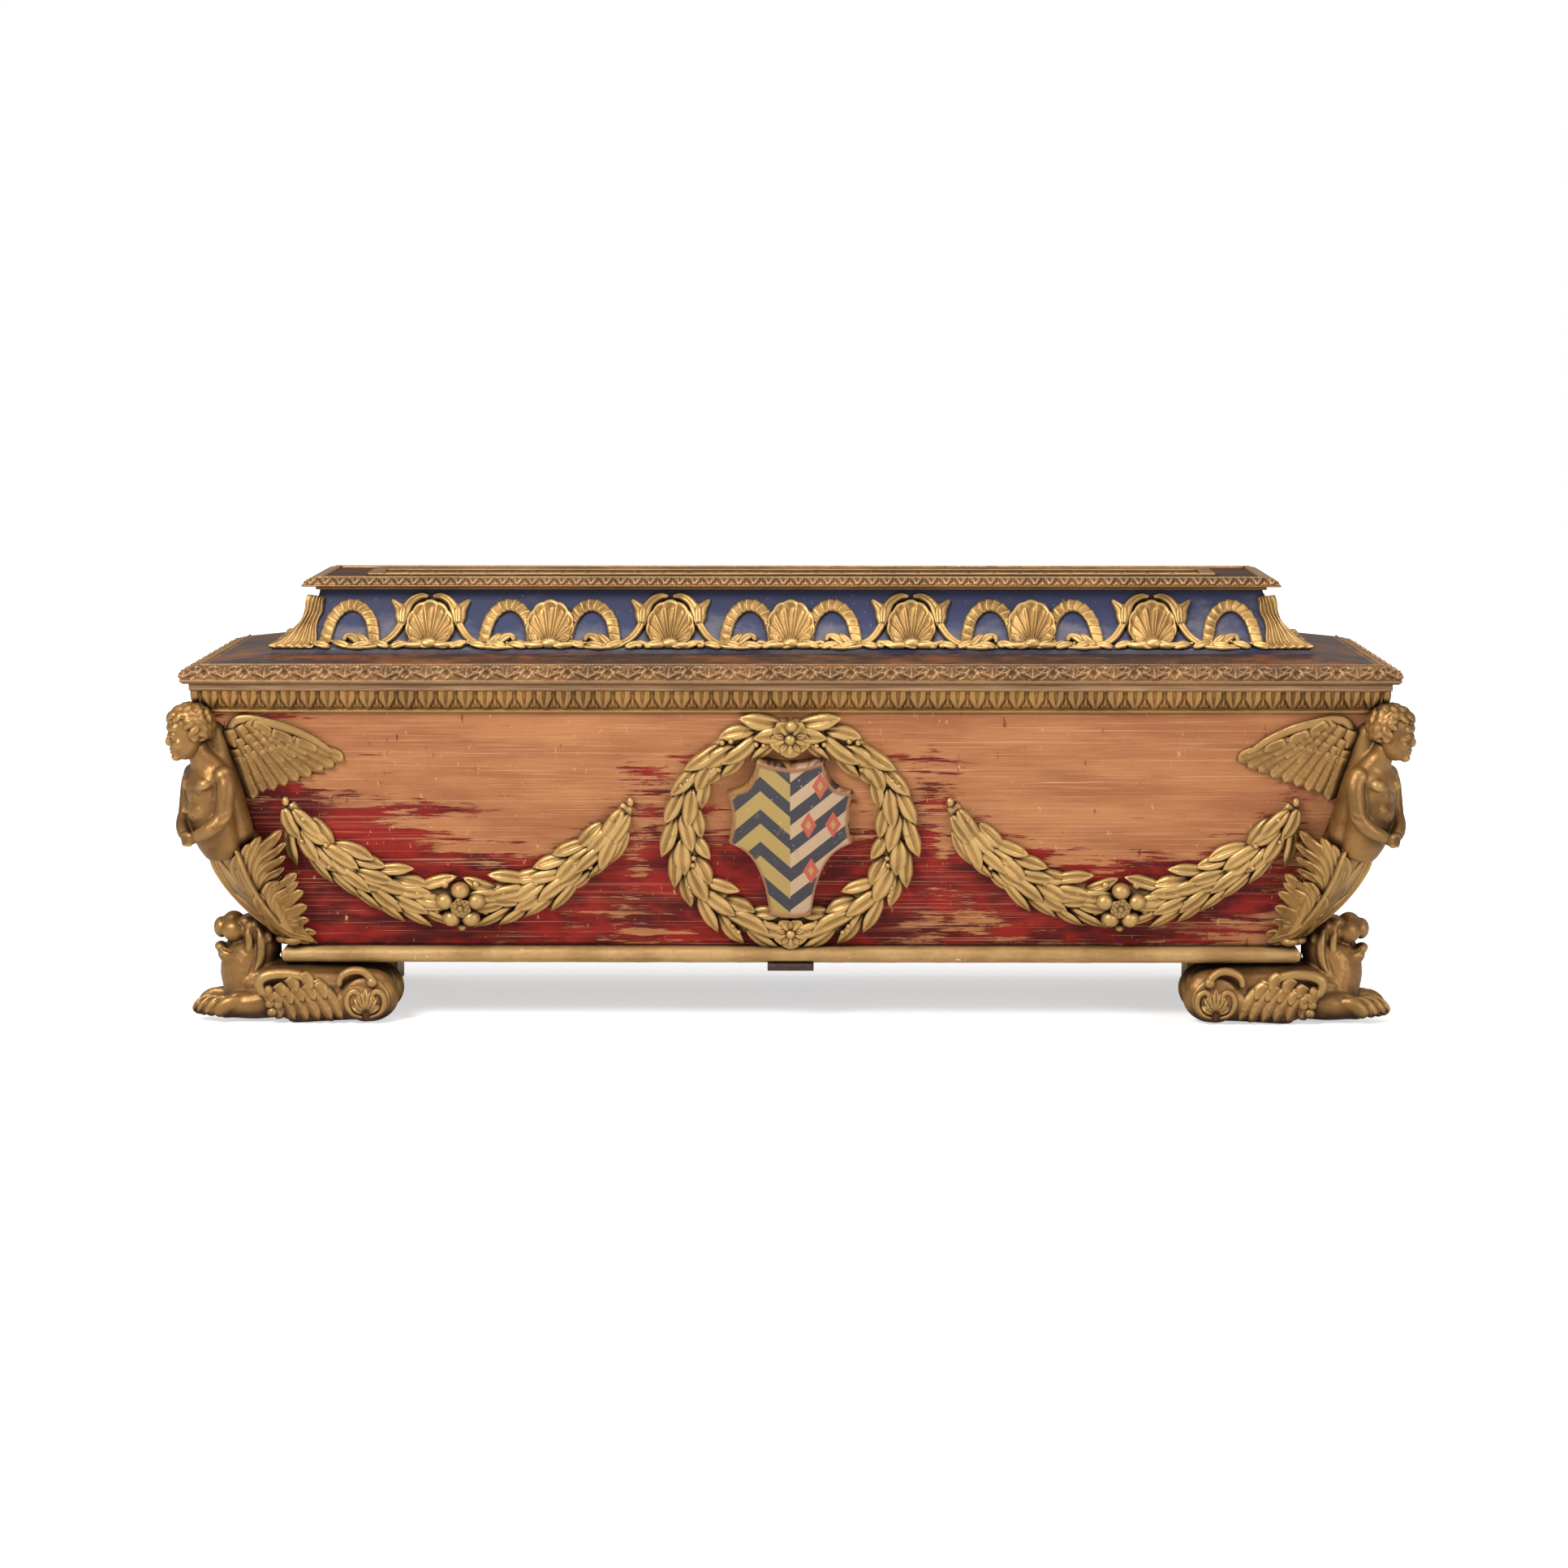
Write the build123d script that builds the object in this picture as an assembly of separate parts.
from build123d import *
import os
from math import atan2, cos, degrees, hypot, pi, radians, sin

# A sarcophagus-shaped marriage chest: a tapering carcass covered in velvet, standing on carved
# feet, under a hinged lid that carries a hollow coffer with a concave frieze.
# Millimetres. +Z is up, the front faces -Y, and the origin is on the floor under the middle.

# ---------------------------------------------------------------- driving dimensions
# lid, hinged part of the chest
lid_width = 1860.0
lid_depth = 600.0
lid_gap = 0.5
rail_thickness = 36.5
field_fall = 9.0
lid_edge_reach = 37.0
lid_edge_lip = 13.0
lid_edge_bead = 1.0

# coffer that stands on the lid
field_margin = 90.0
back_margin = 63.0
plinth_height = 6.0
frieze_rise = 89.0
frieze_run = 68.0
frieze_hollow = 14.0
frieze_foot = 40.0
frieze_head = 28.0
top_panel_thickness = 16.5
top_panel_inset = 2.0
top_cornice_reach = 29.0
top_cornice_lip = 4.0
top_frame_margin = 64.0
top_frame_width = 20.0
top_frame_height = 7.5

# carcass
foot_height = 92.0
bottom_thickness = 26.0
panel_height = 378.0
panel_run = 118.0
cornice_height = 45.0
cornice_reach = 12.0
cornice_strip = 10.0
lid_overhang = 14.0
board_thickness = 25.0
velvet_thickness = 1.5
base_moulding_reach = 25.0
batten_width = 72.0
batten_thickness = 13.0
batten_setback = 4.0

# hinges
hinge_inset = 370.0
knuckle_radius = 7.0
knuckle_length = 18.0
knuckle_gap = 0.5
pin_radius = 3.0
pin_clearance = 0.05
pin_end = 2.0
strap_thickness = 3.0
chest_strap_length = 160.0
lid_strap_length = 85.0

# carved feet: crouching lions in front, plain shaped blocks behind
lion_length = 328.0
lion_width = 150.0
lion_setback = 103.0
lion_rump_inset = 164.0
block_length = 135.0
block_depth = 110.0
block_cove = 30.0

limb_sides = 10

# carving on the front, measured down the slope of the panel
wreath_outer = 199.0
wreath_inner = 133.0
wreath_relief = 30.0
wreath_leaf_count = 12
flower_reach = 29.0
flower_relief = 36.0
garland_wreath_gap = 48.0
garland_corner_gap = 112.0
garland_foot_gap = 78.0
garland_sag = 170.0
garland_half_width = 34.0
garland_relief = 30.0
garland_leaf_count = 9
cluster_reach = 42.0
cluster_relief = 40.0
shield_half_width = 97.0
shield_top_half_width = 51.0
shield_clearance = 8.5
shield_relief = 36.0
shield_edge_relief = 12.0
acanthus_relief = 16.0
acanthus_lobe = 12.0
acanthus_lobe_count = 5
wing_span = 183.0
wing_root_inset = 24.0
wing_relief = 12.0
wing_feather_count = 8

# carving on the frieze
shell_count = 7
shell_height = 84.0
shell_rib_count = 9
ribbon_width = 14.0
ornament_height = 98.0
stalk_width = 8.0
ornament_relief = 11.0
scroll_height = 18.0
corner_leaf_width = 62.0
fitting_cuts = 3

# ---------------------------------------------------------------- levels and faces
hinge_reach = 2 * knuckle_radius + knuckle_gap
front_tip_y = -(lid_depth + hinge_reach) / 2
back_y = front_tip_y + lid_depth

panel_foot_z = foot_height + bottom_thickness
panel_top_z = panel_foot_z + panel_height
rim_z = panel_top_z + cornice_height
lid_under_z = rim_z + lid_gap
lid_top_z = lid_under_z + rail_thickness
frieze_foot_z = lid_top_z + plinth_height
frieze_top_z = frieze_foot_z + frieze_rise
top_z = frieze_top_z + top_panel_thickness

slope = panel_run / panel_height
lean = hypot(1.0, slope)
panel_drop = panel_height * lean
rim_half = lid_width / 2 - lid_overhang - cornice_reach
rim_front_y = front_tip_y + lid_overhang + cornice_reach

rail_half = lid_width / 2 - lid_edge_reach
rail_front_y = front_tip_y + lid_edge_reach
plinth_half = rail_half - field_margin
plinth_front_y = rail_front_y + field_margin
plinth_back_y = back_y - back_margin
coffer_half = plinth_half - frieze_foot
coffer_front_y = plinth_front_y + frieze_foot
coffer_back_y = plinth_back_y - frieze_foot
frieze_top_half = plinth_half - frieze_run
top_half = frieze_top_half - top_panel_inset
top_front_y = plinth_front_y + frieze_run + top_panel_inset
top_back_y = plinth_back_y - frieze_run - top_panel_inset

hinge_y = back_y + knuckle_radius + knuckle_gap
hinge_z = rim_z + lid_gap / 2
hinge_positions = (-(lid_width / 2 - hinge_inset), lid_width / 2 - hinge_inset)

shell_pitch = 0.6986 * plinth_half / ((shell_count - 1) // 2)
ribbon_offset, ribbon_outer = 0.3422 * shell_pitch, 0.1765 * shell_pitch

far = 60.0
mitre_depth = 130.0


def half_at(z):
    """Half the width of the carcass at a height."""
    return rim_half - (rim_z - z) * slope


def front_at(z):
    """The Y of the carcass's front face at a height."""
    return rim_front_y + (rim_z - z) * slope


# ---------------------------------------------------------------- small tools
def save(name, *shapes):
    """Write one node; several shapes are separate solids of that node."""
    solids = [solid for shape in shapes for solid in shape.solids()]
    whole = solids[0] if len(solids) == 1 else Compound(children=solids)
    export_step(whole, f"parts/{name}.step")


def both_sides(solid):
    """A solid on the right and its mirror image on the left."""
    return solid, mirror(solid, about=Plane.YZ)


def block(x_low, x_high, y_low, y_high, z_low, z_high):
    """A rectangular block between two corners."""
    size = (x_high - x_low, y_high - y_low, z_high - z_low)
    middle = ((x_high + x_low) / 2, (y_high + y_low) / 2, (z_high + z_low) / 2)
    return Pos(*middle) * Box(*size)


def closed(*edges):
    """A flat face inside a chain of edges."""
    return make_face(Curve() + list(edges))


def polygon(*points):
    """A flat face with straight sides."""
    return make_face(Polyline(*points, close=True))


def faceted(curve, cuts):
    """A curve as a carver roughs it out: straight cuts between points on it."""
    return Polyline(*[curve @ (cut / cuts) for cut in range(cuts + 1)])


def round_blank(half_x, half_y=None, sides=12):
    """A round or oval blank with flat sides."""
    half_y = half_y or half_x
    turns = [2 * pi * side / sides for side in range(sides)]
    return polygon(*[(half_x * cos(turn), half_y * sin(turn)) for turn in turns])


def limb(*stations):
    """A rounded limb through oval stations, in flat facets: (centre, direction, half sizes)."""
    turns = [2 * pi * side / limb_sides for side in range(limb_sides)]
    rings = []
    for centre, direction, (half_x, half_y) in stations:
        plane = Plane(origin=centre, z_dir=direction)
        rings.append([
            plane.from_local_coords((half_x * cos(turn), half_y * sin(turn), 0)) for turn in turns
        ])
    segments = [ConvexPolyhedron([*low, *high]) for low, high in zip(rings, rings[1:])]
    return segments[0] + segments[1:]


def hopper(front, end, back, z_low, z_high):
    """The tapering carcass between two heights, each wall moved in by its own amount."""
    corners = []
    for z in (z_low, z_high):
        x = half_at(z) - end * lean
        for y in (front_at(z) + front * lean, back_y - back):
            corners += [(x, y, z), (-x, y, z)]
    return ConvexPolyhedron(corners)


def moulding(section, half, y_front, y_back, four_sides=False):
    """Mitred lengths round the front and ends, and round the back too if asked.

    The section is drawn with x outwards from the carried edge and y as the height.
    """
    def corner_prism(y, inward):
        shape = polygon(
            (-half - far, y - inward * far),
            (half + far, y - inward * far),
            (half - mitre_depth, y + inward * mitre_depth),
            (-half + mitre_depth, y + inward * mitre_depth),
        )
        return extrude(shape, amount=top_z + far)

    front_plane = Plane(origin=(0, y_front, 0), x_dir=(0, -1, 0), z_dir=(-1, 0, 0))
    long_bar = extrude(front_plane * section, amount=half + far, both=True)
    front = long_bar & corner_prism(y_front, 1)

    y_end = y_back + far if four_sides else y_back
    y_start = y_front - far
    end_plane = Plane(origin=(half, y_end, 0), x_dir=(1, 0, 0), z_dir=(0, -1, 0))
    right = extrude(end_plane * section, amount=y_end - y_start) - corner_prism(y_front, 1)
    if not four_sides:
        return front, right, mirror(right, about=Plane.YZ)
    right = right - corner_prism(y_back, -1)
    middle = Plane.XZ.offset(-(y_front + y_back) / 2)
    return front, right, mirror(right, about=Plane.YZ), mirror(front, about=middle)


# the plane that lies on the velvet, with x along the panel and y up its slope
front_panel = Plane(
    origin=(0, front_at(panel_top_z) - velvet_thickness * lean, panel_top_z),
    x_dir=(1, 0, 0),
    z_dir=(0, -1, -slope),
)
def on_front(sketch, relief):
    """A carving of the given relief on the front panel, between base moulding and cornice."""
    carving = extrude(front_panel * sketch, amount=relief)
    return carving & hopper(-far, -far, 0, panel_foot_z, panel_top_z)


# ---------------------------------------------------------------- carcass
def make_carcass():
    outer = hopper(0, 0, 0, panel_foot_z, rim_z)
    within_front = hopper(board_thickness, -far, -far, panel_foot_z, rim_z)
    within_back = block(-lid_width, lid_width, front_tip_y, back_y - board_thickness, 0, rim_z)
    within_ends = hopper(-far, board_thickness, -far, panel_foot_z, rim_z)

    front = outer - within_front
    back = (outer & within_front) - within_back
    ends = (outer & within_front & within_back) - within_ends
    save("front_board", front)
    save("back_board", back)
    right, left = sorted(ends.solids(), key=lambda solid: -solid.center().X)
    save("right_end_board", right)
    save("left_end_board", left)

    bottom_half = half_at(panel_foot_z)
    bottom_front = front_at(panel_foot_z)
    save(
        "bottom_board",
        block(-bottom_half, bottom_half, bottom_front, back_y, foot_height, panel_foot_z),
    )
    batten_front = bottom_front - base_moulding_reach + batten_setback
    batten = block(
        -batten_width / 2, batten_width / 2,
        batten_front, back_y - batten_setback,
        foot_height - batten_thickness, foot_height,
    )
    nose = batten.edges().filter_by(Axis.X).group_by(Axis.Z)[0]
    batten = fillet(nose, batten_thickness * 0.8)
    save("bottom_batten", batten)


def make_velvet():
    skin = velvet_thickness
    front = hopper(-skin, -skin, 0, panel_foot_z, panel_top_z) - hopper(
        0, -far, -far, panel_foot_z, panel_top_z
    )
    ends = hopper(0, -skin, 0, panel_foot_z, panel_top_z) - hopper(
        -far, 0, -far, panel_foot_z, panel_top_z
    )
    right, left = sorted(ends.solids(), key=lambda solid: -solid.center().X)
    save("front_velvet", front)
    save("right_velvet", right)
    save("left_velvet", left)


def base_section():
    """A half round with a small flat against the bottom board."""
    low, high = foot_height, panel_foot_z
    flat = base_moulding_reach - bottom_thickness / 2
    return closed(
        Line((0, low), (flat, low)),
        ThreePointArc((flat, low), (base_moulding_reach, (low + high) / 2), (flat, high)),
        Line((flat, high), (0, high)),
        Line((0, high), (0, low)),
    )


def cornice_section():
    """An ovolo between a fillet and a plain strip, its back on the leaning board."""
    back_top = cornice_height * slope
    nose = back_top + cornice_reach
    ovolo_top = rim_z - cornice_strip
    fillet_reach, fillet_top = 0.3 * nose, panel_top_z + 0.13 * cornice_height
    shoulder = (0.82 * nose, panel_top_z + 0.38 * cornice_height)
    return closed(
        Line((0, panel_top_z), (fillet_reach, panel_top_z)),
        Line((fillet_reach, panel_top_z), (fillet_reach, fillet_top)),
        ThreePointArc((fillet_reach, fillet_top), shoulder, (0.94 * nose, ovolo_top)),
        Line((0.94 * nose, ovolo_top), (nose, ovolo_top)),
        Line((nose, ovolo_top), (nose, rim_z)),
        Line((nose, rim_z), (back_top, rim_z)),
        Line((back_top, rim_z), (0, panel_top_z)),
    )


def make_chest_mouldings():
    bottom_half, bottom_front = half_at(panel_foot_z), front_at(panel_foot_z)
    front, right, left = moulding(base_section(), bottom_half, bottom_front, back_y)
    save("base_moulding_front", front)
    save("base_moulding_right", right)
    save("base_moulding_left", left)

    front, right, left = moulding(
        cornice_section(), half_at(panel_top_z), front_at(panel_top_z), back_y
    )
    save("cornice_front", front)
    save("cornice_right", right)
    save("cornice_left", left)
    return front, right


# ---------------------------------------------------------------- feet
def lion():
    """A crouching lion, x from rump to paws, sawn and rounded from a block.

    It is drawn in hundredths of its length, its width and the foot's height.
    """
    long, wide, high = lion_length / 100, lion_width / 100, foot_height / 100
    flank = Plane(origin=(0, 0, 0), x_dir=(1, 0, 0), z_dir=(0, -1, 0))
    face_view = Plane(origin=(56 * long, 0, 0), x_dir=(0, 1, 0), z_dir=(1, 0, 0))

    def side(*points):
        return [(x * long, z * high) for x, z in points]

    def plan(*points):
        return [(x * long, y * wide) for x, y in points]

    def front(*points):
        return [(y * wide, z * high) for y, z in points]

    rump = Spline(*side((9.4, 0), (1.9, 23), (0, 54), (2.5, 86), (9.4, 100)),
                  tangents=((-1, 0), (1, 0)))
    chest = Spline(*side((60, 100), (74, 80), (82, 27), (84, 0)))
    trunk = closed(
        faceted(rump, 8),
        Line(*side((9.4, 100), (60, 100))),
        faceted(chest, 4),
        Line(*side((84, 0), (9.4, 0))),
    )
    breast = Spline(*plan((67, -50), (82, -39), (84.5, 0), (82, 39), (67, 50)))
    seat = Spline(*plan((19, 50), (3, 37), (0, 0), (3, -37), (19, -50)))
    outline = closed(
        Line(*plan((19, -50), (67, -50))),
        faceted(breast, 8),
        Line(*plan((67, 50), (19, 50))),
        faceted(seat, 8),
    )
    body = extrude(flank * trunk, amount=lion_width, both=True)
    body = body & extrude(outline, amount=foot_height)

    brow = Spline(*side((59, 105), (63, 152), (72.5, 180), (82, 189), (89.4, 175), (90.3, 152),
                        (88.8, 141)))
    jaw = Spline(*side((89, 130), (88.8, 116), (85, 103), (85.6, 75), (84, 45)))
    skull = closed(
        Line(*side((59, 45), (59, 105))),
        faceted(brow, 10),
        Line(*side((88.8, 141), (75, 127))),
        Line(*side((75, 127), (89, 130))),
        faceted(jaw, 6),
        Line(*side((84, 45), (59, 45))),
    )
    cheek = Spline(*front((25, 34), (29, 91), (31, 139), (23, 175), (0, 190)))
    other_cheek = Spline(*front((0, 190), (-23, 175), (-31, 139), (-29, 91), (-25, 34)))
    front_view = closed(
        Line(*front((-25, 34), (25, 34))), faceted(cheek, 7), faceted(other_cheek, 7)
    )
    head = extrude(flank * skull, amount=31 * wide, both=True)
    head = head & extrude(face_view * front_view, amount=lion_length)

    instep = Spline(*side((98, 0), (100, 11), (96, 41), (92, 56), (82, 50), (64, 59)))
    paw = closed(
        Line(*side((64, 0), (98, 0))), faceted(instep, 8), Line(*side((64, 59), (64, 0)))
    )
    toes = Rectangle(42 * long, 23 * wide) + Rectangle(35 * long, 39 * wide)
    leg = extrude(flank * paw, amount=lion_width, both=True)
    leg = leg & extrude(Pos(79 * long, 0) * toes, amount=foot_height)
    stance = 23 * wide
    return body + head + Pos(0, -stance, 0) * leg + Pos(0, stance, 0) * leg


def rear_block():
    """A plain foot with a hollowed outer face."""
    section = closed(
        Line((0, 0), (block_length - block_cove, 0)),
        ThreePointArc(
            (block_length - block_cove, 0),
            (block_length - 0.8 * block_cove, 0.62 * foot_height),
            (block_length, foot_height),
        ),
        Line((block_length, foot_height), (0, foot_height)),
        Line((0, foot_height), (0, 0)),
    )
    flank = Plane(origin=(0, 0, 0), x_dir=(1, 0, 0), z_dir=(0, -1, 0))
    return extrude(flank * section, amount=block_depth)


def make_feet():
    middle = front_tip_y + lion_setback + lion_width / 2
    right = Pos(half_at(panel_foot_z) - lion_rump_inset, middle, 0) * lion()
    bottom_half = half_at(panel_foot_z) + base_moulding_reach
    above = block(-bottom_half, bottom_half, front_tip_y, back_y, foot_height, panel_top_z)
    lion_foot, left = both_sides(right - above)
    save("foot_front_right", lion_foot)
    save("foot_front_left", left)

    setback = back_y - batten_setback
    reach = half_at(panel_foot_z) + base_moulding_reach / 2 - block_length
    right, left = both_sides(Pos(reach, setback, 0) * rear_block())
    save("foot_rear_right", right)
    save("foot_rear_left", left)
    return lion_foot


# ---------------------------------------------------------------- carving on the carcass
def leafy_band(inner, outer, count, start, sweep, swell=None):
    """A band of leaf tips round a centre; start and sweep are degrees from straight down."""
    swell = swell or (lambda share: 1.0)
    middle, half = (inner + outer) / 2, (outer - inner) / 2
    step = sweep / count

    def at(radius, degrees_round):
        turn = radians(degrees_round)
        return (radius * sin(turn), -radius * cos(turn))

    outer_side, inner_side = [], []
    for leaf in range(count):
        angle = start + leaf * step
        width = half * swell((leaf + 0.5) / count)
        outer_side += [at(middle + 0.72 * width, angle), at(middle + width, angle + 0.8 * step)]
        inner_side += [at(middle - 0.72 * width, angle), at(middle - width, angle + 0.8 * step)]
    tip = at(middle, start + sweep)
    return polygon(*outer_side, tip, *reversed(inner_side))


def rosette(petal_count, reach):
    """A flower of round petals."""
    petal = 0.42 * reach
    shape = round_blank(0.5 * reach)
    for index in range(petal_count):
        turn = Rot(0, 0, 90 + 360 * index / petal_count)
        shape += turn * Pos(reach - petal, 0) * round_blank(petal, sides=8)
    return shape


def make_wreath():
    centre = Pos(0, -panel_drop / 2)
    band = wreath_outer - wreath_inner
    middle = (wreath_outer + wreath_inner) / 2
    right = on_front(centre * leafy_band(wreath_inner, wreath_outer, wreath_leaf_count, 0, 180),
                     wreath_relief / 2)
    core = leafy_band(middle - 0.27 * band, middle + 0.27 * band, wreath_leaf_count, 4, 172)
    right += on_front(centre * core, wreath_relief)

    flowers = []
    for side in (-1, 1):
        place = centre * Pos(0, side * (middle - 2))
        flowers.append(on_front(place * rosette(5, flower_reach), flower_relief))
    for flower in flowers:
        right -= flower
    side_only = block(0, lid_width, front_tip_y - far, back_y, 0, top_z)
    right, left = both_sides(right & side_only)
    save("wreath_right", max(right.solids(), key=lambda solid: solid.volume))
    save("wreath_left", max(left.solids(), key=lambda solid: solid.volume))
    save("wreath_flowers", *flowers)


def make_shield():
    top = wreath_inner - shield_clearance
    wide, narrow, foot = shield_half_width, shield_top_half_width, 0.34 * shield_half_width

    def half(sign):
        return [
            ThreePointArc((sign * narrow, top), (sign * 0.64 * wide, 0.82 * top),
                          (sign * wide, 0.56 * top)),
            ThreePointArc((sign * wide, 0.56 * top), (sign * 0.96 * wide, 0.06 * top),
                          (sign * wide, -0.16 * top)),
            ThreePointArc((sign * wide, -0.16 * top), (sign * 0.64 * wide, -0.52 * top),
                          (sign * foot, -top)),
        ]

    outline = closed(
        ThreePointArc((-narrow, top), (0, 0.94 * top), (narrow, top)),
        *half(1),
        ThreePointArc((foot, -top), (0, -1.04 * top), (-foot, -top)),
        *half(-1),
    )
    place = Pos(0, -panel_drop / 2)
    plate = on_front(place * outline, shield_relief)
    fall = shield_relief - shield_edge_relief
    radius = (shield_half_width**2 + fall**2) / (2 * fall)
    dome_axis = Plane(
        origin=front_panel.from_local_coords((0, -panel_height, shield_relief - radius)),
        z_dir=front_panel.y_dir,
    )
    save("shield", plate & extrude(dome_axis * Circle(radius), amount=2 * panel_height))


def make_garlands():
    outer_x = half_at(panel_top_z) - garland_corner_gap
    inner_x = wreath_outer + garland_wreath_gap
    half_span = (outer_x - inner_x) / 2
    radius = (half_span**2 + garland_sag**2) / (2 * garland_sag)
    centre_drop = panel_drop - garland_foot_gap - radius
    place = Pos((inner_x + outer_x) / 2, -centre_drop)
    spread = degrees(atan2(half_span, radius - garland_sag))
    wide = garland_half_width

    def swell(share):
        return 1.0 - 0.72 * share**1.6

    wing = leafy_band(radius - wide, radius + wide, garland_leaf_count, 5, spread - 5, swell)
    core = leafy_band(
        radius - 0.6 * wide, radius + 0.6 * wide, garland_leaf_count, 5, spread - 7, swell
    )
    half = on_front(wing, 0.45 * garland_relief) + on_front(core, garland_relief)
    whole = half + mirror(half, about=Plane.YZ)
    cluster = Pos(0, -radius) * rosette(6, cluster_reach)
    whole = whole + on_front(cluster, 0.75 * cluster_relief)
    whole += on_front(Pos(0, -radius) * round_blank(0.4 * cluster_reach), cluster_relief)
    shift = front_panel.from_local_coords((place.position.X, place.position.Y, 0))
    shift = shift - front_panel.origin
    whole = Pos(shift.X, shift.Y, shift.Z) * whole
    right, left = both_sides(whole)
    save("garland_right", right)
    save("garland_left", left)


def wing_outline():
    """A wing spread to the right: a bent leading edge, and feather tips along the trailing one.

    It is drawn in hundredths of its span.
    """
    unit = wing_span / 100
    shoulder, tip, foot = (0, -33 * unit), (100 * unit, -45 * unit), (10 * unit, -78 * unit)
    bends = [(2 * unit, -13 * unit), (17 * unit, -2 * unit), (58 * unit, -11 * unit)]
    edge = faceted(Spline(shoulder, *bends, tip), 10)
    scallops = []
    for feather in range(wing_feather_count):
        start, end = (
            (tip[0] + (foot[0] - tip[0]) * share, tip[1] + (foot[1] - tip[1]) * share)
            for share in (feather / wing_feather_count, (feather + 1) / wing_feather_count)
        )
        bulge = ((start[0] + end[0]) / 2 + 1.6 * unit, (start[1] + end[1]) / 2 - 4.4 * unit)
        scallops.append(faceted(ThreePointArc(start, bulge, end), 3))
    return closed(edge, *scallops, Line(foot, shoulder))


def corner_swap(solid):
    """The same carving on the end panel, mirrored across the corner."""
    corner = (half_at(panel_top_z), front_at(panel_top_z), 0)
    return mirror(solid, about=Plane(origin=corner, z_dir=(1, 1, 0)))


def make_wings(putto):
    """One pair of wings at each front corner: one on the front, one on the end."""
    root = Pos(half_at(panel_top_z) - wing_root_inset, 0)
    flat = root * mirror(wing_outline(), Plane.YZ)
    blank = round_blank(0.27 * wing_span, 0.2 * wing_span)
    blank = Pos(0.34 * wing_span, -0.33 * wing_span) * Rot(0, 0, -22) * blank
    coverts = root * mirror(blank, Plane.YZ)
    own_face = hopper(-far, 0, 0, panel_foot_z, panel_top_z)
    front = on_front(flat, 0.6 * wing_relief) & own_face
    front += on_front(coverts, wing_relief)
    for place, wing in (("front", front), ("end", corner_swap(front))):
        wing = max((wing - putto).solids(), key=lambda solid: solid.volume)
        right, left = both_sides(wing)
        save(f"wing_right_{place}", right)
        save(f"wing_left_{place}", left)


def make_putto(neighbours):
    """A winged child at the corner, drawn in hundredths of the panel's height.

    x points out along the diagonal from the top corner, and z is measured from the panel's foot.
    """
    unit = panel_height / 100
    up = (0, 0, 1)

    def ring(out, height, half_out, half_side):
        return (out * unit, 0, panel_foot_z + height * unit), up, (half_out * unit, half_side * unit)

    def corner_ring(out, height, half_out, half_side):
        fall = (100 - height) * slope * 2**0.5
        return ring(out - fall, height, half_out, half_side)

    def arm_ring(out, side, height, direction, half_x, half_y):
        centre = (out * unit, side * unit, panel_foot_z + height * unit)
        return centre, direction, (half_x * unit, half_y * unit)

    head = limb(
        ring(9, 81.5, 4.5, 4.2), ring(9.8, 85.2, 8.7, 7.1), ring(9.5, 91, 10, 9),
        ring(8.7, 98, 9.8, 9.3), ring(8.5, 102, 6.6, 6.3), ring(8.5, 103.7, 2.4, 2.4),
    )
    trunk = limb(
        ring(6.9, 84, 4.5, 4.8), ring(3.7, 78, 5.8, 6.9), ring(0.5, 74.6, 9.5, 14.8),
        ring(0, 67.2, 11.1, 14.6), ring(-2.1, 57.7, 10.6, 12.2), ring(-4.8, 48, 11.6, 13.2),
        corner_ring(8.5, 36, 11.4, 11.4), corner_ring(7.1, 25, 10, 9.5),
        corner_ring(5, 16, 7.4, 6.9), corner_ring(1, 0, 2.4, 2.4),
    )
    figure = head + trunk
    for side in (-1, 1):
        figure += limb(
            arm_ring(0, side * 12.2, 73.5, (0, side * 0.3, -1), 4.5, 4),
            arm_ring(-1, side * 15.9, 58.7, (0, side * 0.1, -1), 4, 3.7),
            arm_ring(-0.5, side * 16.1, 55.6, (1, 0, -1), 3.2, 3.2),
        )
        figure += limb(
            arm_ring(-3.2, side * 17, 58.7, (1, -side, -0.7), 3.7, 3.7),
            arm_ring(9, side * 1.6, 48, (1, -side, -0.7), 2.9, 3.4),
        )
    origin = (half_at(panel_top_z), front_at(panel_top_z), 0)
    figure = Pos(*origin) * Rot(0, 0, -45) * figure
    skin = velvet_thickness
    figure -= hopper(-skin, -skin, 0, panel_foot_z, rim_z)
    for neighbour in neighbours:
        figure -= neighbour
    right, left = both_sides(max(figure.solids(), key=lambda solid: solid.volume))
    save("putto_right", right)
    save("putto_left", left)
    return right


def make_acanthus(neighbours):
    """The leaf that clasps the tail, spreading over the front and the end.

    It is drawn from the top corner in hundredths of the panel's drop.
    """
    unit = panel_drop / 100
    corner = half_at(panel_top_z)

    def at(inwards, drop):
        return corner - inwards * unit, -drop * unit

    shape = closed(
        faceted(Spline(at(36, 100), at(31, 76), at(26, 48)), 3),
        faceted(Spline(at(26, 48), at(16, 52), at(10, 59)), 3),
        Line(at(10, 59), at(23, 100)),
        Line(at(23, 100), at(36, 100)),
    )
    for index in range(acanthus_lobe_count):
        share = index / (acanthus_lobe_count - 1)
        place = Pos(*at(27 + 5.5 * share, 50.5 + 35.5 * share))
        shape += place * round_blank(acanthus_lobe, sides=8)
    front = on_front(shape, acanthus_relief)
    whole = front + corner_swap(front)
    whole -= hopper(-velvet_thickness, -velvet_thickness, 0, panel_foot_z, panel_top_z)
    for neighbour in neighbours:
        whole -= neighbour
    right, left = both_sides(whole)
    save("acanthus_right", right)
    save("acanthus_left", left)


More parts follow.
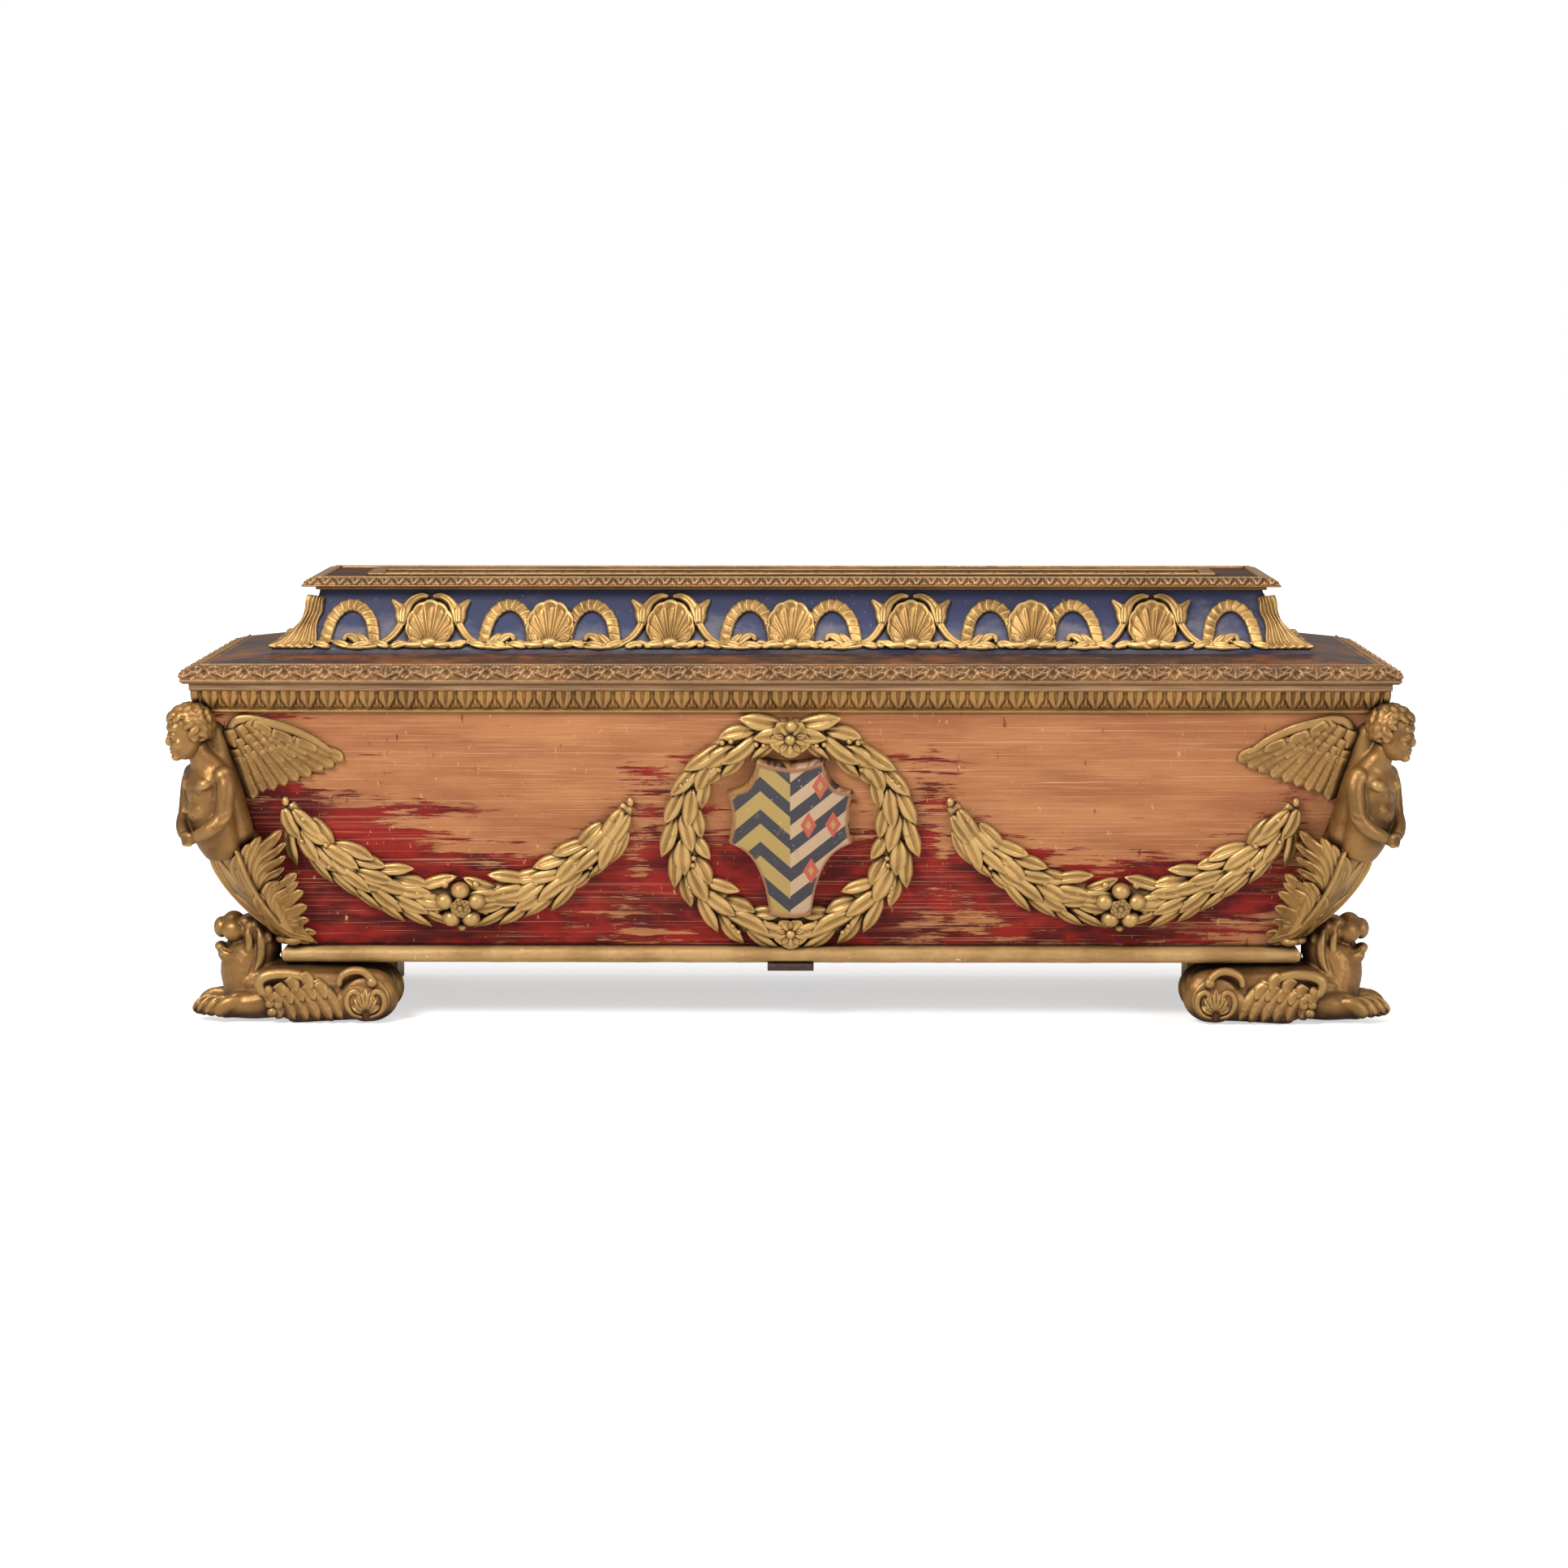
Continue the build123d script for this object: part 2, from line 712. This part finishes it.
# ---------------------------------------------------------------- lid
def lid_field():
    """The outline of the lid's boards: level under the frieze, falling to the front and ends."""
    edge_z = lid_top_z - field_fall
    across = polygon(
        (-rail_half, lid_under_z), (-rail_half, edge_z), (-plinth_half, lid_top_z),
        (plinth_half, lid_top_z), (rail_half, edge_z), (rail_half, lid_under_z),
    )
    deep = polygon(
        (rail_front_y, lid_under_z), (rail_front_y, edge_z), (plinth_front_y, lid_top_z),
        (back_y, lid_top_z), (back_y, lid_under_z),
    )
    front_view = Plane(origin=(0, 0, 0), x_dir=(1, 0, 0), z_dir=(0, -1, 0))
    end_view = Plane(origin=(0, 0, 0), x_dir=(0, 1, 0), z_dir=(1, 0, 0))
    field = extrude(front_view * across, amount=lid_depth, both=True)
    return field & extrude(end_view * deep, amount=lid_width, both=True)


def make_lid_field(straps):
    field = lid_field()

    def board(x_low, x_high, y_low, y_high):
        return field & block(x_low, x_high, y_low, y_high, lid_under_z, lid_top_z)

    rear = board(-rail_half, rail_half, coffer_back_y, back_y)
    for strap in straps:
        rear -= strap
    right, left = both_sides(board(coffer_half, rail_half, coffer_front_y, coffer_back_y))
    save("lid_front_rail", board(-rail_half, rail_half, rail_front_y, coffer_front_y))
    save("lid_back_rail", rear)
    save("lid_right_rail", right)
    save("lid_left_rail", left)


def lid_edge_section():
    """A full rounded edge that rises gently to a bead along its inner side."""
    under, over = lid_under_z, lid_top_z - field_fall + lid_edge_bead
    tip, bead, lip = lid_edge_reach, 6.0, lid_under_z + lid_edge_lip
    shoulder, brow = (0.88 * tip, lip + 0.4 * (over - lip)), (0.5 * tip, lip + 0.72 * (over - lip))
    return closed(
        Line((0, under), (tip - 6, under)),
        Line((tip - 6, under), (tip, under + 5)),
        Line((tip, under + 5), (tip, lip)),
        ThreePointArc((tip, lip), (0.965 * tip, lip + 0.24 * (over - lip)), shoulder),
        ThreePointArc(shoulder, brow, (bead, over - 1.0)),
        Line((bead, over - 1.0), (bead - 1, over)),
        Line((bead - 1, over), (0, over)),
        Line((0, over), (0, under)),
    )


def cavetto_edge():
    """The concave face of the frieze, x outwards from the plinth."""
    foot, head = (0, frieze_foot_z), (-frieze_run, frieze_top_z)
    chord = hypot(frieze_run, frieze_rise)
    middle = (
        -frieze_run / 2 - frieze_hollow * frieze_rise / chord,
        (frieze_foot_z + frieze_top_z) / 2 - frieze_hollow * frieze_run / chord,
    )
    return ThreePointArc(foot, middle, head)


def frieze_section():
    return closed(
        Line((0, lid_top_z), (0, frieze_foot_z)),
        cavetto_edge(),
        Line((-frieze_run, frieze_top_z), (-frieze_run - frieze_head, frieze_top_z)),
        Line((-frieze_run - frieze_head, frieze_top_z), (-frieze_foot, lid_top_z)),
        Line((-frieze_foot, lid_top_z), (0, lid_top_z)),
    )


def top_cornice_section():
    under, over = frieze_top_z, top_z + top_cornice_lip
    tip = top_cornice_reach
    return closed(
        Line((0, under), (8, under)),
        Line((8, under), (8, under + 5)),
        Line((8, under + 5), (tip - 2, under + 5.5)),
        ThreePointArc((tip - 2, under + 5.5), (tip, under + 7.5), (tip - 1, under + 9.5)),
        ThreePointArc((tip - 1, under + 9.5), (0.72 * tip, under + 16), (5, over)),
        Line((5, over), (0, over)),
        Line((0, over), (0, under)),
    )


def top_frame_section():
    height = top_z + top_frame_height
    return closed(
        Line((0, top_z), (0, top_z + 4)),
        ThreePointArc((0, top_z + 4), (-7, height), (-14, top_z + 5)),
        Line((-14, top_z + 5), (-top_frame_width, top_z + 3)),
        Line((-top_frame_width, top_z + 3), (-top_frame_width, top_z)),
        Line((-top_frame_width, top_z), (0, top_z)),
    )


def make_lid_mouldings():
    front, right, left = moulding(lid_edge_section(), rail_half, rail_front_y, back_y)
    save("lid_edge_front", front)
    save("lid_edge_right", right)
    save("lid_edge_left", left)

    sides = moulding(frieze_section(), plinth_half, plinth_front_y, plinth_back_y, True)
    for place, board in zip(("front", "right", "left", "back"), sides):
        save(f"frieze_{place}", board)

    save("top_panel", block(-top_half, top_half, top_front_y, top_back_y, frieze_top_z, top_z))
    sides = moulding(top_cornice_section(), top_half, top_front_y, top_back_y, True)
    for place, length in zip(("front", "right", "left", "back"), sides):
        save(f"top_cornice_{place}", length)

    inset = top_frame_margin
    save("top_frame", *moulding(
        top_frame_section(), top_half - inset, top_front_y + inset, top_back_y - inset, True
    ))


# ---------------------------------------------------------------- carving on the frieze
def frieze_face():
    """A leaning plane in front of the cavetto: x along the chest, y up, z outwards."""
    return Plane(
        origin=(0, plinth_front_y, frieze_foot_z),
        x_dir=(1, 0, 0),
        z_dir=(0, -1, frieze_run / frieze_rise),
    )


def frieze_cores():
    """Everything behind the faces of the frieze; the carving is fitted to it in flat cuts."""
    section = closed(
        Line((0, lid_top_z - far), (0, frieze_foot_z)),
        faceted(cavetto_edge(), fitting_cuts),
        Line((-frieze_run, frieze_top_z), (-frieze_run - far, frieze_top_z)),
        Line((-frieze_run - far, frieze_top_z), (-frieze_run - far, lid_top_z - far)),
        Line((-frieze_run - far, lid_top_z - far), (0, lid_top_z - far)),
    )
    return moulding(section, plinth_half, plinth_front_y, plinth_back_y, True)


def scallop():
    """A shell: its ribs fan from the hinge and scallop the rim."""
    half_hinge, hinge_rise = 0.18 * shell_height, 0.19 * shell_height
    fan = 152.0
    rim = []
    for rib in range(shell_rib_count):
        for share, reach in ((0.12, 0.93), (0.5, 1.0), (0.88, 0.93)):
            angle = radians(90 - fan / 2 + (rib + share) * fan / shell_rib_count)
            reach *= (shell_height - hinge_rise) * (1 - 0.4 * cos(angle)**2)
            rim.append((reach * cos(angle), hinge_rise + reach * sin(angle)))
    return polygon((-half_hinge, 0), (half_hinge, 0), *rim)


def ribbon_arch():
    """A ribbon bent in an arch."""
    leg_foot = 0.6 * scroll_height
    centre = ornament_height - ribbon_outer
    inner_radius = ribbon_outer - ribbon_width

    def arch(radius, leg):
        bend = faceted(ThreePointArc((radius, 0), (0, radius), (-radius, 0)), 5)
        return closed(bend, Line((-radius, 0), (-radius, -leg)),
                      Line((-radius, -leg), (radius, -leg)), Line((radius, -leg), (radius, 0)))

    return Pos(0, centre) * (arch(ribbon_outer, centre - leg_foot) - arch(inner_radius, centre))


def stalk():
    """A stem that rises from the foot of the next ribbon to a bell flower beside the shell.

    It is drawn from the middle of the shell, across in shares of the shells' spacing.
    """
    unit, step, half = ornament_height / 100, shell_pitch / 191, stalk_width / 2
    neck_x, neck_y = 46 * step, 70 * unit
    inner = ThreePointArc((neck_x - half, neck_y), (55 * step, 29 * unit), (76 * step, 10 * unit))
    outer = ThreePointArc((85 * step, 17 * unit), (66 * step, 36 * unit), (neck_x + half, neck_y))
    stem = closed(
        faceted(inner, 4),
        Line((76 * step, 10 * unit), (85 * step, 17 * unit)),
        faceted(outer, 4),
        Line((neck_x + half, neck_y), (neck_x - half, neck_y)),
    )
    bell = polygon(
        (neck_x - half, neck_y), (neck_x + half, neck_y),
        (60 * step, 92 * unit), (48 * step, 88 * unit), (45 * step, 100 * unit),
        (41 * step, 88 * unit), (32 * step, 94 * unit),
    )
    return stem + bell


def scroll_strip(length):
    """The low running scroll along the foot of the frieze."""
    half_waves = 4 * round(length / shell_pitch)
    step = length / half_waves
    crest = [
        (-length / 2 + index * step, scroll_height * (0.45 if index % 2 else 1.0))
        for index in range(half_waves + 1)
    ]
    return closed(
        faceted(Spline(*crest), 2 * half_waves),
        Line(crest[-1], (length / 2, 0)),
        Line((length / 2, 0), (-length / 2, 0)),
        Line((-length / 2, 0), crest[0]),
    )


def corner_leaf():
    """Half of a leaf that climbs a corner of the frieze, drawn left of the mitre."""
    high, wide = ornament_height, corner_leaf_width
    top_x = -high * frieze_run / hypot(frieze_run, frieze_rise)
    edge = Spline(
        (-wide, 0), (-0.97 * wide, 0.24 * high), (-1.03 * wide, 0.57 * high),
        (top_x - 0.42 * wide, 0.8 * high), (top_x - 0.13 * wide, high),
    )
    return closed(
        Line((0, 0), (-wide, 0)),
        faceted(edge, 7),
        Line((top_x - 0.13 * wide, high), (top_x, high)),
        Line((top_x, high), (0, 0)),
    )


def make_frieze_carving():
    """Shells, ribbons, stalks and scrolls, each cut away behind to fit the cavetto."""
    face = frieze_face()
    front_core, right_core, left_core, _ = frieze_cores()
    deep = frieze_run + 2 * ornament_relief

    def carve(sketch, height):
        rough = extrude(face.offset(height) * sketch, amount=-deep)
        return rough - front_core - right_core - left_core

    half_count = (shell_count - 1) // 2
    shell_places = [shell_pitch * index for index in range(-half_count, half_count + 1)]
    shell = carve(Pos(0, 0.5 * scroll_height) * scallop(), ornament_relief)
    shells = [Pos(x, 0, 0) * shell for x in shell_places]
    leaf = carve(Pos(plinth_half, 0) * corner_leaf(), 0.8 * ornament_relief)
    strip = carve(scroll_strip(2 * plinth_half - 2 * corner_leaf_width), 0.55 * ornament_relief)
    for piece in shells:
        strip -= piece

    arch = carve(ribbon_arch(), 0.4 * ornament_relief)
    stem = carve(stalk(), 0.7 * ornament_relief)
    arches, stalks = [], []
    for index, x in enumerate(shell_places):
        for side in (-1, 1):
            if index % 2:
                arches.append(Pos(x + side * ribbon_offset, 0, 0) * arch - shells[index] - strip)
                continue
            turned = stem if side > 0 else mirror(stem, about=Plane.YZ)
            stalks.append(Pos(x, 0, 0) * turned - shells[index] - strip)

    outermost = shell_places[-1] + shell_pitch - ribbon_offset
    arches += both_sides(Pos(outermost, 0, 0) * arch - strip)

    to_end = Pos(plinth_half + plinth_front_y, (plinth_front_y + plinth_back_y) / 2, 0)
    to_end = to_end * Rot(0, 0, 90)
    end_length = plinth_back_y - plinth_front_y - 2 * corner_leaf_width
    end_strip = carve(scroll_strip(end_length), 0.55 * ornament_relief) - shell
    for side in (-1, 1):
        end_arch = Pos(side * ribbon_offset, 0, 0) * arch - shell - end_strip
        arches += both_sides(to_end * end_arch)
    shells += both_sides(to_end * shell)

    save("frieze_shells", *shells)
    save("frieze_ribbons", *arches)
    save("frieze_stalks", *stalks)
    save("frieze_scrolls", strip, *both_sides(to_end * end_strip))
    corner = (plinth_half, plinth_front_y, 0)
    swap = Plane(origin=corner, z_dir=(1, 1, 0))
    save("frieze_corner_leaves", *both_sides(leaf + mirror(leaf, about=swap)))


# ---------------------------------------------------------------- hinges
def make_hinges():
    axis = Plane(origin=(0, hinge_y, hinge_z), x_dir=(0, 1, 0), z_dir=(1, 0, 0))
    hole = pin_radius + pin_clearance
    pitch = knuckle_length + knuckle_gap
    strap_half = pitch + knuckle_length / 2

    def knuckle(x):
        tube = Pos(0, 0, x) * (
            Cylinder(knuckle_radius, knuckle_length) - Cylinder(hole, 2 * knuckle_length)
        )
        return axis.location * tube

    bore = axis.location * Cylinder(hole, 4 * strap_half)
    plate_top = hinge_z - knuckle_radius - 1.0
    plate_low = hinge_z - chest_strap_length
    chest_strap = block(-strap_half, strap_half, back_y, back_y + strap_thickness,
                        plate_low, plate_top)
    for x in (-pitch, pitch):
        low, high = x - knuckle_length / 2, x + knuckle_length / 2
        web = block(low, high, back_y, hinge_y, plate_top, hinge_z)
        chest_strap += (web - bore) + knuckle(x)

    leaf_top = lid_under_z + strap_thickness
    lid_strap = block(-strap_half, strap_half, back_y - lid_strap_length, back_y - 1.0,
                      lid_under_z, leaf_top)
    half_knuckle = knuckle_length / 2
    web = block(-half_knuckle, half_knuckle, back_y - 1.0, hinge_y, lid_under_z, leaf_top)
    lid_strap += (web - bore) + knuckle(0)

    pin = axis.location * Cylinder(pin_radius, 2 * (strap_half + pin_end))

    lid_straps = [Pos(x, 0, 0) * lid_strap for x in hinge_positions]
    save("chest_hinge_straps", *[Pos(x, 0, 0) * chest_strap for x in hinge_positions])
    save("lid_hinge_straps", *lid_straps)
    save("hinge_pins", *[Pos(x, 0, 0) * pin for x in hinge_positions])
    return lid_straps


# ---------------------------------------------------------------- the whole chest
os.makedirs("parts", exist_ok=True)
make_carcass()
make_velvet()
cornice = make_chest_mouldings()
lion_foot = make_feet()
make_wreath()
make_shield()
make_garlands()
putto = make_putto([*cornice, lion_foot])
make_acanthus([putto, lion_foot])
make_wings(putto)
make_lid_field(make_hinges())
make_lid_mouldings()
make_frieze_carving()
